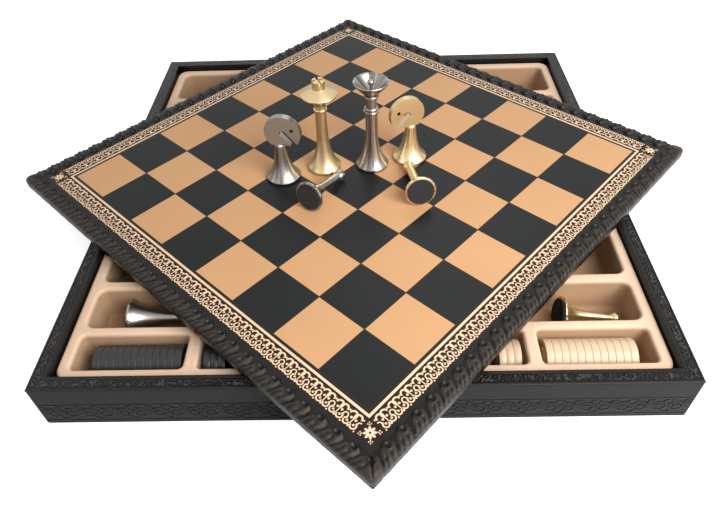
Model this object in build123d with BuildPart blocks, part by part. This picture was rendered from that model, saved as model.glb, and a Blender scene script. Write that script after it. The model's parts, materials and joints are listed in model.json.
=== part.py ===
from build123d import *

import os
from math import acos, atan, atan2, cos, hypot, degrees, radians, sin

# A square box with a moulded tray, closed by a lift-off board, with chess men and draughts.
# Millimetres. The origin is the middle of the box's underside, +Z is up and -Y is the front.

# ---- Board: laid on the rim, turned away from square -------------------------------------
square = 40.0
squares_a_side = 8
border = 30.0
board_thick = 10.0
board_turn = -42.7
board_x = -4.6
board_y = 2.9
sheet_margin = 19.0
leather_thick = 1.0
binding_corner = 2.0
lace_thick = 0.8
lace_width = 7.0
lace_lean = 4.0
lace_drop = 7.0
lace_hole = 1.5
lace_inset = 8.0
lace_holes = 30

# ---- Box ---------------------------------------------------------------------------------
board_clearance = 1.5
rim_width = 10.0
box_height = 38.0
cover_thick = 0.8
rim_edge = 0.5
felt_thick = 0.8
felt_inset = 2.0
panel_thick = 3.0
panel_rebate = 4.0
panel_gap = 0.3

# ---- Tray --------------------------------------------------------------------------------
tray_drop = 5.0
tray_gap = 0.5
tray_sheet = 1.5
tray_corner = 10.0
tray_skirt = 8.0
tray_flange = 8.0
trough_depth = 26.5
trough_divider = 7.0
end_trough = 71.0
end_divider = 9.0
long_row = 33.0
row_divider = 8.0
middle_rows = 4
back_row = 46.0
pocket_corner = 6.0
trough_corner = 3.2
mouth_round = 2.4
floor_round = 3.0
level_reach = 0.01

# ---- Draughts ----------------------------------------------------------------------------
draught_radius = 12.75
draught_thick = 4.7
draught_pitch = 4.75
draught_round = 0.4
groove_radius = 8.5
groove_width = 1.2
groove_depth = 0.5
row_count = 12
spare_count = 3
dark_end_gap = 2.5
cream_end_gap = 4.0
seat_gap = 0.3

# ---- Chess men ---------------------------------------------------------------------------
pad_thick = 0.8
pad_inset = 1.5
foot_edge = 1.8
foot_bevel = 0.4
flare_bulge = 1.5
spigot_radius = 2.0
spigot_length = 5.0
spigot_gap = 0.1

king_foot = 13.25
king_neck = 4.5
king_neck_height = 30.0
king_joint = 54.8
king_throat = 4.2
king_disc = 13.65
king_disc_height = 66.0
king_disc_edge = 0.9
king_drum = 4.9
king_drum_base = 71.0
king_height = 77.5
king_notch_depth = 2.8
king_notch_width = 2.0

queen_foot = 13.0
queen_neck = 4.7
queen_neck_height = 30.0
queen_joint = 53.4
queen_collar = 6.0
queen_throat_length = 8.2
queen_throat = 4.2
queen_rim = 13.25
queen_cup_depth = 10.5
queen_ball = 2.3
queen_ball_drop = 0.6
queen_bowl_floor = 9.0
queen_pin = 1.2

knight_foot = 13.5
knight_neck = 5.0
knight_neck_height = 27.0
knight_joint = 31.5
coin_radius = 14.0
coin_thick = 5.0
coin_centre = 42.0
coin_forward = 3.8
mouth_width = 5.0
mouth_angle = -50.0
eye_radius = 1.0
eye_forward = 7.5
eye_rise = 3.0

pawn_foot = 11.7
pawn_neck = 3.4
pawn_neck_height = 18.0
pawn_ball = 4.8
pawn_ball_height = 41.5

rook_foot = 13.0
rook_neck = 4.8
rook_neck_height = 27.0
rook_tower = 8.5
rook_tower_height = 10.0
rook_height = 50.0
rook_wall = 3.0

bishop_foot = 13.0
bishop_neck = 4.6
bishop_neck_height = 28.0
bishop_collar = 5.8
bishop_collar_height = 45.0
bishop_head = 7.0
bishop_height = 64.0
bishop_cut = 1.6

ring = 1.2
ring_bevel = 0.6
ring_height = 2 * ring_bevel + ring

queen_collar_height = queen_joint + queen_throat_length
queen_height = queen_collar_height + ring_height + queen_cup_depth
taper = 0.3

# ---- Where the men are, by the board's own axes and by the tray's ----------------------------
king_at = (-16.1, -19.0)
queen_at = (10.6, 8.4)
dark_knight_at = (-32.0, -49.2)
dark_knight_faces = 33.0
pale_knight_at = (27.3, 35.4)
pale_knight_faces = -116.3
dark_pawn_at = (12.8, -64.5)
dark_pawn_points = 100.0
pale_pawn_at = (71.8, -5.5)
pale_pawn_points = 141.8
king_lies_x = -161.0
pawn_lies_x = 134.5
lies_back = 2.0
man_spacing = 3.0
pawn_files = 7

# ---- Worked out --------------------------------------------------------------------------
board_side = square * squares_a_side + 2 * border
board_half = board_side / 2
binding_half = board_half - lace_thick
core_half = binding_half - leather_thick
sheet_half = board_half - border + sheet_margin
hole_line = board_half - lace_inset
hole_pitch = 2 * hole_line / (lace_holes - 1)
board_top = box_height + board_thick

opening_half = board_half + board_clearance
box_half = opening_half + rim_width
wall_half = box_half - cover_thick
wall_top = box_height - cover_thick
panel_top = felt_thick + panel_thick

tray_top = box_height - tray_drop
tray_half = opening_half - tray_gap
tray_floor = panel_top + tray_sheet
pocket_half = tray_half - tray_flange

os.makedirs("parts", exist_ok=True)


def mitre(inner, outer):
    """Plan of one mitred side, lying along -Y, between two squares of these half widths."""
    return Polygon((-outer, -outer), (outer, -outer), (inner, -inner), (-inner, -inner), align=None)


def keep(name, shape, turn=0):
    """Give one piece its name, turned about the origin, and write it."""
    with BuildPart() as piece:
        add(shape, rotation=(0, 0, turn))
    piece.part.label = name
    export_step(piece.part, f"parts/{name}.step")


def keep_at(name, shape, places):
    """Write one node that holds this shape at each of these places."""
    with BuildPart() as piece:
        with Locations(*places):
            add(shape)
    piece.part.label = name
    export_step(piece.part, f"parts/{name}.step")


# ---- Box: four mitred walls, their covers, the rim strips and the bottom -------------------
with BuildPart() as wall:
    with BuildSketch(Plane.XY.offset(felt_thick)):
        mitre(opening_half + cover_thick, wall_half)
    extrude(amount=wall_top - felt_thick)
    with BuildSketch(Plane.XY.offset(felt_thick)):
        mitre(opening_half, opening_half + panel_rebate + panel_gap)
    extrude(amount=panel_thick, mode=Mode.SUBTRACT)

with BuildPart() as cover:
    with BuildSketch(Plane.XY.offset(felt_thick)):
        mitre(wall_half, box_half)
    extrude(amount=wall_top - felt_thick)

with BuildPart() as rim_strip:
    with BuildSketch(Plane.YZ):
        with Locations((-(opening_half + box_half) / 2, wall_top)):
            Rectangle(rim_width, cover_thick, align=(Align.CENTER, Align.MIN))
        fillet(vertices().group_by(Axis.Y)[-1], radius=rim_edge)
    extrude(amount=box_half, both=True)
    with BuildSketch(Plane.XY.offset(wall_top)):
        mitre(opening_half, box_half)
    extrude(amount=cover_thick, mode=Mode.INTERSECT)
    with BuildSketch(Plane.XY.offset(panel_top)):
        mitre(opening_half, opening_half + cover_thick)
    extrude(amount=wall_top - panel_top)

for side, turn in {"front": 0, "right": 90, "back": 180, "left": 270}.items():
    keep(f"{side}_wall", wall.part, turn)
    keep(f"{side}_cover", cover.part, turn)
    keep(f"{side}_rim", rim_strip.part, turn)

with BuildPart() as bottom_panel:
    with BuildSketch(Plane.XY.offset(felt_thick)):
        Rectangle(2 * (opening_half + panel_rebate), 2 * (opening_half + panel_rebate))
    extrude(amount=panel_thick)
keep("bottom_panel", bottom_panel.part)

with BuildPart() as base_felt:
    with BuildSketch():
        Rectangle(2 * (box_half - felt_inset), 2 * (box_half - felt_inset))
    extrude(amount=felt_thick)
keep("base_felt", base_felt.part)


# ---- Tray: one formed sheet with a turned-down flange and rows of pockets ------------------
def pocket_rows():
    """Front and back of each row of pockets, from the front of the tray to its back."""
    rows = [(-pocket_half, -pocket_half + trough_depth)]
    rows.append((rows[0][1] + trough_divider, rows[0][1] + trough_divider + long_row))
    first = rows[1][1] + row_divider
    last = pocket_half - back_row - row_divider
    depth = (last - first - (middle_rows - 1) * row_divider) / middle_rows
    for number in range(middle_rows):
        front = first + number * (depth + row_divider)
        rows.append((front, front + depth))
    rows.append((pocket_half - back_row, pocket_half))
    return rows


rows = pocket_rows()
inner_trough_end = pocket_half - end_trough - end_divider
trough_spans = (
    (-pocket_half, -pocket_half + end_trough),
    (-inner_trough_end, -row_divider / 2),
    (row_divider / 2, inner_trough_end),
    (pocket_half - end_trough, pocket_half),
)
pockets = [(left, right, *rows[0], trough_corner) for left, right in trough_spans]
pockets += [(-pocket_half, pocket_half, *row, pocket_corner) for row in rows[1:]]


def pocket_plans(grown):
    """Plans of all the pockets, each grown by this much."""
    for left, right, front, back, corner in pockets:
        with Locations(((left + right) / 2, (front + back) / 2)):
            RectangleRounded(right - left + 2 * grown, back - front + 2 * grown, corner + grown)


with BuildPart() as tray:
    with BuildSketch(Plane.XY.offset(tray_top)):
        RectangleRounded(2 * tray_half, 2 * tray_half, tray_corner)
    extrude(amount=-tray_skirt)
    with BuildSketch(Plane.XY.offset(tray_top - tray_skirt)):
        inside = 2 * (tray_half - tray_sheet)
        RectangleRounded(inside, inside, tray_corner - tray_sheet)
    extrude(amount=tray_skirt - tray_sheet, mode=Mode.SUBTRACT)
    with BuildSketch(Plane.XY.offset(panel_top)):
        pocket_plans(tray_sheet)
    extrude(amount=tray_top - tray_sheet / 2 - panel_top)
    with BuildSketch(Plane.XY.offset(tray_floor)):
        pocket_plans(0)
    extrude(amount=tray_top - tray_floor, mode=Mode.SUBTRACT)
    fillet(tray.edges().group_by(Axis.Z)[-1], radius=mouth_round)
    floor_edges = tray.edges().filter_by_position(Axis.Z, tray_floor - level_reach, tray_floor + level_reach)
    fillet(floor_edges, radius=floor_round)
keep("tray", tray.part)


# ---- Board: core, playing sheet, lining, four bindings and their laces ---------------------
board_place = Location((board_x, board_y, box_height), (0, 0, board_turn))

with BuildPart() as board_core:
    with BuildSketch(Plane.XY.offset(leather_thick)):
        Rectangle(2 * core_half, 2 * core_half)
    extrude(amount=board_thick - 2 * leather_thick)
    rims = board_core.edges().filter_by(Axis.Z, reverse=True)
    fillet(rims, radius=binding_corner - leather_thick)

with BuildPart() as playing_sheet:
    with BuildSketch(Plane.XY.offset(board_thick - leather_thick)):
        Rectangle(2 * sheet_half, 2 * sheet_half)
    extrude(amount=leather_thick)

with BuildPart() as board_lining:
    with BuildSketch():
        Rectangle(2 * sheet_half, 2 * sheet_half)
    extrude(amount=leather_thick)

with BuildPart() as binding:
    with BuildSketch(Plane.YZ):
        with Locations((-binding_half, board_thick / 2)):
            Rectangle(binding_half - sheet_half, board_thick, align=(Align.MIN, Align.CENTER))
        fillet(vertices().group_by(Axis.X)[0], radius=binding_corner)
    extrude(amount=binding_half, both=True)
    with BuildSketch():
        mitre(sheet_half, binding_half)
    extrude(amount=board_thick, mode=Mode.INTERSECT)
    add(board_core.part, mode=Mode.SUBTRACT)
    with BuildSketch(Plane.XY.offset(board_thick)):
        with Locations((0, -hole_line)):
            with GridLocations(hole_pitch, 1, lace_holes - 2, 1):
                Circle(lace_hole)
    extrude(amount=-leather_thick, mode=Mode.SUBTRACT)

with BuildPart() as lace:
    with BuildSketch(Plane.XY.offset(board_thick)):
        half = lace_width / 2
        Polygon(
            (-half, -hole_line),
            (half, -hole_line),
            (half - lace_lean, -board_half),
            (-half - lace_lean, -board_half),
            align=None,
        )
    extrude(amount=lace_thick)
    with BuildSketch(Plane.XZ.offset(binding_half)):
        with Locations((-lace_lean, board_thick + lace_thick)):
            Rectangle(lace_width, lace_drop + lace_thick, align=(Align.CENTER, Align.MAX))
    extrude(amount=lace_thick)
    with BuildSketch(Plane.XY.offset(board_thick)):
        with Locations((0, -hole_line)):
            Circle(lace_hole)
    extrude(amount=lace_thick, mode=Mode.SUBTRACT)

with BuildPart() as laces:
    with GridLocations(hole_pitch, 1, lace_holes - 2, 1):
        add(lace.part)

keep_at("board_core", board_core.part, [board_place])
keep_at("playing_sheet", playing_sheet.part, [board_place])
keep_at("board_lining", board_lining.part, [board_place])
for side, turn in {"near_left": 0, "near_right": 90, "far_right": 180, "far_left": 270}.items():
    turned = board_place * Location((0, 0, 0), (0, 0, turn))
    keep_at(f"{side}_binding", binding.part, [turned])
    keep_at(f"{side}_lacing", laces.part, [turned])


# ---- Draughts: discs on edge in the front troughs -----------------------------------------
with BuildPart() as draught:
    with BuildSketch(Plane.XZ):
        Rectangle(draught_radius, draught_thick, align=(Align.MIN, Align.MIN))
        fillet(vertices().group_by(Axis.X)[-1], radius=draught_round)
        for face_height, side in ((0, Align.MIN), (draught_thick, Align.MAX)):
            with Locations((groove_radius, face_height)):
                Rectangle(groove_width, groove_depth, align=(Align.CENTER, side), mode=Mode.SUBTRACT)
    revolve(axis=Axis.Z)

trough_y = (rows[0][0] + rows[0][1]) / 2
draught_z = tray_floor + draught_radius + seat_gap


def draught_row(start, count):
    """Places of a row of discs on edge, its first face at this x."""
    return [
        Location((start + number * draught_pitch, trough_y, draught_z), (0, 90, 0))
        for number in range(count)
    ]


full_row = row_count * draught_pitch
dark_start = end_trough - pocket_half - dark_end_gap - full_row
cream_start = pocket_half - end_trough + cream_end_gap
keep_at("dark_draughts", draught.part, draught_row(dark_start, row_count))
keep_at("cream_draughts", draught.part, draught_row(cream_start, row_count))
spare_start = inner_trough_end - dark_end_gap - spare_count * draught_pitch
keep_at("spare_dark_draughts", draught.part, draught_row(dark_end_gap - inner_trough_end, spare_count))
keep_at("spare_cream_draughts", draught.part, draught_row(spare_start, spare_count))


# ---- Chess men: turned metal, each on a felt pad -------------------------------------------
def foot(radius, neck, neck_height):
    """Outline of a foot, out along its underside and up its hollow flare to the neck."""
    top = pad_thick + foot_edge
    edge = Polyline(
        (0, pad_thick), (radius - foot_bevel, pad_thick), (radius, pad_thick + foot_bevel), (radius, top)
    )
    return Bezier(edge @ 1, (neck + flare_bulge, top + neck_height / 4), (neck, neck_height))


def pad(radius):
    """Felt pad under a foot of this radius."""
    with BuildPart() as felt_pad:
        Cylinder(radius - pad_inset, pad_thick, align=(Align.CENTER, Align.CENTER, Align.MIN))
    return felt_pad.part


def turned_ring(radius, inner, low):
    """Points of one turned ring, up its side, its lower edge at this height."""
    return [
        (inner, low),
        (radius, low + ring_bevel),
        (radius, low + ring_bevel + ring),
        (inner, low + 2 * ring_bevel + ring),
    ]




def stem_with_spigot(radius, neck, neck_height, rings, joint):
    """A foot and stem with its rings, and the spigot that its head goes on."""
    with BuildPart() as stem:
        with BuildSketch(Plane.XZ):
            with BuildLine():
                flare = foot(radius, neck, neck_height)
                Polyline(
                    flare @ 1,
                    *rings,
                    (spigot_radius, joint),
                    (spigot_radius, joint + spigot_length),
                    (0, joint + spigot_length),
                    (0, pad_thick),
                )
            make_face()
        revolve(axis=Axis.Z)
    return stem.part


socket = spigot_radius + spigot_gap
socket_depth = spigot_length + spigot_gap
king_rings = turned_ring(king_neck + ring_bevel, king_throat, king_joint - ring_height)
king_stem = stem_with_spigot(king_foot, king_neck, king_neck_height, king_rings, king_joint)

with BuildPart() as king_crown:
    with BuildSketch(Plane.XZ):
        with BuildLine():
            throat = Polyline(
                (0, king_joint + socket_depth),
                (socket, king_joint + socket_depth),
                (socket, king_joint),
                (king_throat, king_joint),
                (king_throat, king_joint + ring_height),
            )
            under = Bezier(
                throat @ 1,
                (king_throat, king_disc_height - 4 * king_disc_edge),
                (king_disc - king_disc_edge, king_disc_height - king_disc_edge),
            )
            Polyline(
                under @ 1,
                (king_disc, king_disc_height),
                (king_disc, king_disc_height + king_disc_edge),
                (king_drum + ring_bevel, king_drum_base - ring_bevel),
                (king_drum, king_drum_base),
                (king_drum, king_height - foot_bevel),
                (king_drum - foot_bevel, king_height),
                (0, king_height),
                throat @ 0,
            )
        make_face()
    revolve(axis=Axis.Z)
    for notch_plane in (Plane.XZ, Plane.YZ):
        with BuildSketch(notch_plane):
            with Locations((0, king_height)):
                Rectangle(king_notch_width, king_notch_depth, align=(Align.CENTER, Align.MAX))
        extrude(amount=king_disc, both=True, mode=Mode.SUBTRACT)

queen_rings = turned_ring(queen_neck + 2 * ring_bevel, queen_neck, queen_joint - 2 * ring_height)
queen_rings += turned_ring(queen_neck + ring_bevel, queen_neck, queen_joint - ring_height)
queen_stem = stem_with_spigot(queen_foot, queen_neck, queen_neck_height, queen_rings, queen_joint)

with BuildPart() as queen_cup:
    with BuildSketch(Plane.XZ):
        ball_centre = queen_height - queen_ball_drop
        ball_foot = ball_centre - (queen_ball**2 - queen_pin**2) ** 0.5
        with BuildLine():
            throat = Polyline(
                (0, queen_joint + socket_depth),
                (socket, queen_joint + socket_depth),
                (socket, queen_joint),
                (queen_throat, queen_joint),
                *turned_ring(queen_collar, queen_throat, queen_collar_height),
            )
            bowl_side = (queen_rim * 0.65, queen_height - 0.8 * queen_bowl_floor)
            bowl = Bezier(throat @ 1, bowl_side, (queen_rim, queen_height - ring))
            lip = Polyline(bowl @ 1, (queen_rim, queen_height), (queen_rim - ring, queen_height))
            hollow_side = (queen_rim / 2, queen_height - 0.75 * queen_bowl_floor)
            hollow = Bezier(lip @ 1, hollow_side, (queen_pin, queen_height - queen_bowl_floor))
            pin_line = Line(hollow @ 1, (queen_pin, ball_foot))
            ball = ThreePointArc(pin_line @ 1, (queen_ball, ball_centre), (0, ball_centre + queen_ball))
            Line(ball @ 1, throat @ 0)
        make_face()
    revolve(axis=Axis.Z)

with BuildPart() as knight_stem:
    with BuildSketch(Plane.XZ):
        with BuildLine():
            flare = foot(knight_foot, knight_neck, knight_neck_height)
            Polyline(flare @ 1, (knight_neck - taper, knight_joint), (0, knight_joint), (0, pad_thick))
        make_face()
    revolve(axis=Axis.Z)

with BuildPart() as knight_head:
    with BuildSketch(Plane.XZ):
        with Locations((coin_forward, coin_centre)):
            Circle(coin_radius)
            with Locations((eye_forward, eye_rise)):
                Circle(eye_radius, mode=Mode.SUBTRACT)
            with Locations(Location((0, 0, 0), (0, 0, mouth_angle))):
                Circle(mouth_width / 2, mode=Mode.SUBTRACT)
                across = (Align.MIN, Align.CENTER)
                Rectangle(2 * coin_radius, mouth_width, align=across, mode=Mode.SUBTRACT)
        with Locations((0, knight_joint)):
            Rectangle(4 * coin_radius, coin_radius, align=(Align.CENTER, Align.MAX), mode=Mode.SUBTRACT)
    extrude(amount=coin_thick / 2, both=True)

with BuildPart() as pawn:
    with BuildSketch(Plane.XZ):
        ball_neck = pawn_neck - taper
        ball_foot = pawn_ball_height - (pawn_ball**2 - ball_neck**2) ** 0.5
        with BuildLine():
            flare = foot(pawn_foot, pawn_neck, pawn_neck_height)
            stem_line = Line(flare @ 1, (ball_neck, ball_foot))
            ball_side = (pawn_ball, pawn_ball_height)
            ball = ThreePointArc(stem_line @ 1, ball_side, (0, pawn_ball_height + pawn_ball))
            Line(ball @ 1, (0, pad_thick))
        make_face()
    revolve(axis=Axis.Z)

tower_base = rook_height - rook_tower_height

with BuildPart() as rook:
    with BuildSketch(Plane.XZ):
        with BuildLine():
            flare = foot(rook_foot, rook_neck, rook_neck_height)
            Polyline(
                flare @ 1,
                (rook_neck - taper, tower_base - rook_wall),
                (rook_tower, tower_base),
                (rook_tower, rook_height),
                (rook_tower - rook_wall, rook_height),
                (rook_tower - rook_wall, rook_height - rook_wall),
                (0, rook_height - rook_wall),
                (0, pad_thick),
            )
        make_face()
    revolve(axis=Axis.Z)
    for notch_plane in (Plane.XZ, Plane.YZ):
        with BuildSketch(notch_plane):
            with Locations((0, rook_height)):
                Rectangle(rook_wall, rook_wall, align=(Align.CENTER, Align.MAX))
        extrude(amount=rook_foot, both=True, mode=Mode.SUBTRACT)

with BuildPart() as bishop:
    with BuildSketch(Plane.XZ):
        with BuildLine():
            flare = foot(bishop_foot, bishop_neck, bishop_neck_height)
            collar = Polyline(
                flare @ 1, *turned_ring(bishop_collar, bishop_neck - taper, bishop_collar_height)
            )
            swell = (1.5 * bishop_head, bishop_collar_height + bishop_head)
            Bezier(collar @ 1, swell, (0, bishop_height - bishop_cut), (0, bishop_height))
            Line((0, bishop_height), (0, pad_thick))
        make_face()
    revolve(axis=Axis.Z)
    with BuildSketch(Plane.XZ):
        with Locations(Location((0, bishop_height - bishop_head, 0), (0, 0, 35))):
            Rectangle(2 * bishop_head, bishop_cut, align=(Align.MIN, Align.CENTER))
    extrude(amount=2 * bishop_head, both=True, mode=Mode.SUBTRACT)


def standing(at, facing=0):
    """Where a man stands on the board, by the board's own axes."""
    return board_place * Location((*at, board_thick), (0, 0, facing))


def tip(foot_radius, head_radius, head_height, rounded=False):
    """How far a lying man's axis dips, from its foot's edge to its head."""
    rise = head_height - pad_thick - foot_bevel
    if rounded:
        return degrees(acos(head_radius / hypot(foot_radius, rise)) - atan2(rise, foot_radius))
    return degrees(atan((foot_radius - head_radius) / rise))


def lying(at, floor, facing, foot_radius, dip, roll=0):
    """Where a man lies with the middle of its underside at this x and y, its head this way."""
    edge = pad_thick + foot_bevel
    height = foot_radius * cos(radians(dip)) + edge * sin(radians(dip)) + seat_gap
    turned = Location((*at, floor + height), (0, 0, facing)) * Location((0, 0, 0), (0, 90 + dip, 0))
    return turned * Location((0, 0, 0), (0, 0, roll))


pawn_dip = tip(pawn_foot, pawn_ball, pawn_ball_height, rounded=True)
king_dip = tip(king_foot, king_disc, king_disc_height)
queen_dip = tip(queen_foot, queen_rim, queen_height)
rook_dip = tip(rook_foot, rook_tower, rook_height)
bishop_dip = tip(bishop_foot, bishop_head, bishop_collar_height + bishop_head)
knight_dip = tip(knight_foot, coin_thick / 2, coin_centre + coin_radius)

king_place = [standing(king_at)]
keep_at("brass_king_pad", pad(king_foot), king_place)
keep_at("brass_king_stem", king_stem, king_place)
keep_at("brass_king_crown", king_crown.part, king_place)

queen_place = [standing(queen_at)]
keep_at("gunmetal_queen_pad", pad(queen_foot), queen_place)
keep_at("gunmetal_queen_stem", queen_stem, queen_place)
keep_at("gunmetal_queen_cup", queen_cup.part, queen_place)

knight_places = {
    "gunmetal_knight": [standing(dark_knight_at, dark_knight_faces)],
    "brass_knight": [standing(pale_knight_at, pale_knight_faces)],
}
for name, place in knight_places.items():
    keep_at(f"{name}_pad", pad(knight_foot), place)
    keep_at(f"{name}_stem", knight_stem.part, place)
    keep_at(f"{name}_head", knight_head.part, place)


def pawn_on_board(at, points):
    """Where a pawn lies on the board, its head this way by the board's own axes."""
    return board_place * lying(at, board_thick, points, pawn_foot, pawn_dip)


pawn_places = {
    "gunmetal_pawn": [pawn_on_board(dark_pawn_at, dark_pawn_points)],
    "brass_pawn": [pawn_on_board(pale_pawn_at, pale_pawn_points)],
}
for name, place in pawn_places.items():
    keep_at(f"{name}_pad", pad(pawn_foot), place)
    keep_at(name, pawn.part, place)

# ---- The other men, lying in the tray --------------------------------------------------------
pawn_length = pawn_ball_height + pawn_ball
knight_length = coin_centre + coin_radius
long_y = (rows[1][0] + rows[1][1]) / 2
rook_y = (rows[4][0] + rows[4][1]) / 2
bishop_y = (rows[5][0] + rows[5][1]) / 2


def pawn_file(row, count):
    """Places of pawns lying side by side across a row, heads to the back."""
    y = (rows[row][0] + rows[row][1] - pawn_length) / 2
    pitch = 2 * pawn_foot + man_spacing
    start = -pitch * (count - 1) / 2
    spots = [(start + number * pitch, y) for number in range(count)]
    return [lying(spot, tray_floor, 90, pawn_foot, pawn_dip) for spot in spots]


def end_to_end(start, y, lengths, foot_radius, dip, roll=0):
    """Places of men lying one behind the other along a row, heads to the right."""
    places = []
    for length in lengths:
        places.append(lying((start, y), tray_floor, 0, foot_radius, dip, roll))
        start += length + 2 * man_spacing
    return places


king_lies = end_to_end(king_lies_x, long_y + lies_back, [king_height], king_foot, king_dip)
queen_lies_x = king_lies_x + king_height + 2 * man_spacing
queen_lies = end_to_end(queen_lies_x, long_y, [queen_height], queen_foot, queen_dip)
dark_pawns = pawn_file(2, pawn_files)
pale_pawns = pawn_file(3, pawn_files - 1)
pale_pawns += end_to_end(pawn_lies_x, long_y + lies_back, [pawn_length], pawn_foot, pawn_dip)

rook_lies_x = pocket_corner + man_spacing - pocket_half
rooks_lie = end_to_end(rook_lies_x, rook_y, [rook_height] * 4, rook_foot, rook_dip)
knight_lies_x = rook_lies_x + 4 * (rook_height + 2 * man_spacing)
knights_lie = end_to_end(knight_lies_x, rook_y, [knight_length] * 2, knight_foot, knight_dip, 90)
bishop_lies_x = -2 * (bishop_height + 2 * man_spacing)
bishops_lie = end_to_end(bishop_lies_x, bishop_y, [bishop_height] * 4, bishop_foot, bishop_dip)

with BuildPart() as whole_king:
    add(king_stem)
    add(king_crown.part)
with BuildPart() as whole_queen:
    add(queen_stem)
    add(queen_cup.part)
with BuildPart() as whole_knight:
    add(knight_stem.part)
    add(knight_head.part)

keep_at("stored_gunmetal_king", whole_king.part, king_lies)
keep_at("stored_brass_queen", whole_queen.part, queen_lies)
keep_at("stored_gunmetal_pawns", pawn.part, dark_pawns)
keep_at("stored_brass_pawns", pawn.part, pale_pawns)
keep_at("stored_gunmetal_rooks", rook.part, rooks_lie[:2])
keep_at("stored_brass_rooks", rook.part, rooks_lie[2:])
keep_at("stored_gunmetal_bishops", bishop.part, bishops_lie[:2])
keep_at("stored_brass_bishops", bishop.part, bishops_lie[2:])
keep_at("stored_gunmetal_knight", whole_knight.part, knights_lie[:1])
keep_at("stored_brass_knight", whole_knight.part, knights_lie[1:])

with BuildPart() as stored_pads:
    for radius, places in (
        (pawn_foot, dark_pawns + pale_pawns),
        (king_foot, king_lies),
        (queen_foot, queen_lies),
        (rook_foot, rooks_lie),
        (bishop_foot, bishops_lie),
        (knight_foot, knights_lie),
    ):
        with Locations(*places):
            Cylinder(radius - pad_inset, pad_thick, align=(Align.CENTER, Align.CENTER, Align.MIN))
stored_pads.part.label = "stored_pads"
export_step(stored_pads.part, "parts/stored_pads.step")

print("row fronts and backs", [(round(front, 1), round(back, 1)) for front, back in rows])
print("trough spans", trough_spans, "tray floor", tray_floor, "tray top", tray_top)
print("dips", [round(dip, 2) for dip in (pawn_dip, king_dip, queen_dip, rook_dip, bishop_dip, knight_dip)])
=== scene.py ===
# %% [markdown]
# # A chess box with a lift-off board
# The packed model holds every piece at its true size and place, and this file gives each piece its
# looks. A piece whose shape is right keeps its mesh and gets a finish. Where the real one is softer
# or finer, as the puckered leather of the board's edge is, a new piece stands for it in the same
# space. We work in metres, in the model's own frame: the box stands on z = 0, its front towards -Y.

# %% Load the frame
import json
from math import acos, atan2, cos, hypot, pi, radians, sin

import bpy
import numpy as np
from mathutils import Matrix, Vector


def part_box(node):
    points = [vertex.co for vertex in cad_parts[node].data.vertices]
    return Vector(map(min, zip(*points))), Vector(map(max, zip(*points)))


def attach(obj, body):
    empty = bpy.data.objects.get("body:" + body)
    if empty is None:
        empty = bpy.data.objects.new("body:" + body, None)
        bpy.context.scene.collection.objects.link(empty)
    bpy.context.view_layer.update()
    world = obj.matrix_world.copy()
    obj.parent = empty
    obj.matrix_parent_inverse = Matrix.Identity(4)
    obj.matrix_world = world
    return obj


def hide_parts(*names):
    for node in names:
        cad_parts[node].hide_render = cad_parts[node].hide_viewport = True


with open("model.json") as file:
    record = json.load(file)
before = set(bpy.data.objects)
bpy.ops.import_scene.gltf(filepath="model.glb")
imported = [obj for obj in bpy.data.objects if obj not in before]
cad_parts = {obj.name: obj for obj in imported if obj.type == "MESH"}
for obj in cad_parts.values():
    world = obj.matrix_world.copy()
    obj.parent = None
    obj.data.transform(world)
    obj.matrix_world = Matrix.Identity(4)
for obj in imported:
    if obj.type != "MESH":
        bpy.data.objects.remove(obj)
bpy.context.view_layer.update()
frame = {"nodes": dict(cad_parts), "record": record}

nodes = frame["nodes"]
record = frame["record"]
mm = 0.001

# %% [markdown]
# ## Measures that everything hangs on
# The board is square, but it lies turned on the rim. Each pattern and fold on it could be turned by
# a formula of its own. It is simpler to work in the board's own axes, and to have one matrix that
# brings them to the model's frame. The board's middle is read from the model once.

# %% The board's own axes
low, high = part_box("playing_sheet")
board_centre = Vector(((low.x + high.x) / 2, (low.y + high.y) / 2, high.z))
board_turn = radians(-42.7)
board_axes = Matrix.Translation(board_centre) @ Matrix.Rotation(board_turn, 4, "Z")
print("board centre", [round(v, 4) for v in board_centre])

# %% The board's edge and the box
board_half = 190 * mm
sheet_half = 179 * mm
hole_line = 182 * mm
holes_a_side = 30
hole_pitch = 2 * hole_line / (holes_a_side - 1)
rim_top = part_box("front_rim")[1].z
box_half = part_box("right_cover")[1].x
print("hole pitch", round(hole_pitch / mm, 2), "mm, half the box", round(box_half / mm, 2), "mm")

# %% [markdown]
# ## The camera
# The picture was taken from above the front edge. A camera could be dragged until the view looks
# right. Here its place, turn and lens follow from where the board's grid meets the picture, and a
# small roll keeps the picture's slight tilt.

# %% Camera
camera_place = (8.6 * mm, -405.3 * mm, 352.4 * mm)
camera_turn = (radians(45.13), radians(1.6), radians(0.16))
bpy.ops.object.select_all(action="DESELECT")
bpy.ops.object.camera_add(location=camera_place, rotation=camera_turn)
camera = bpy.context.object
camera.data.lens = 31.04
camera.data.sensor_width = 36
camera.data.clip_start = 0.01
bpy.context.scene.camera = camera
print("camera", camera_place, "lens", round(camera.data.lens, 2))

# %% [markdown]
# ## The lamps
# Small lamps would leave hard spots on the metal, so the studio has three large soft ones. The key
# lamp stands at the front right and gives the dark leather its sheen, a weak one fills from the
# front left, and one from behind draws the edges.

# %% Lamps
def area_lamp(name, place, size, power):
    """A square soft lamp at a place, pointing at the middle of the box."""
    bpy.ops.object.light_add(type="AREA", location=place)
    lamp = bpy.context.object
    lamp.name = name
    lamp.data.size = size
    lamp.data.energy = power
    aim = Vector((0, 0, rim_top)) - Vector(place)
    lamp.rotation_euler = aim.to_track_quat("-Z", "Y").to_euler()
    return lamp


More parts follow.
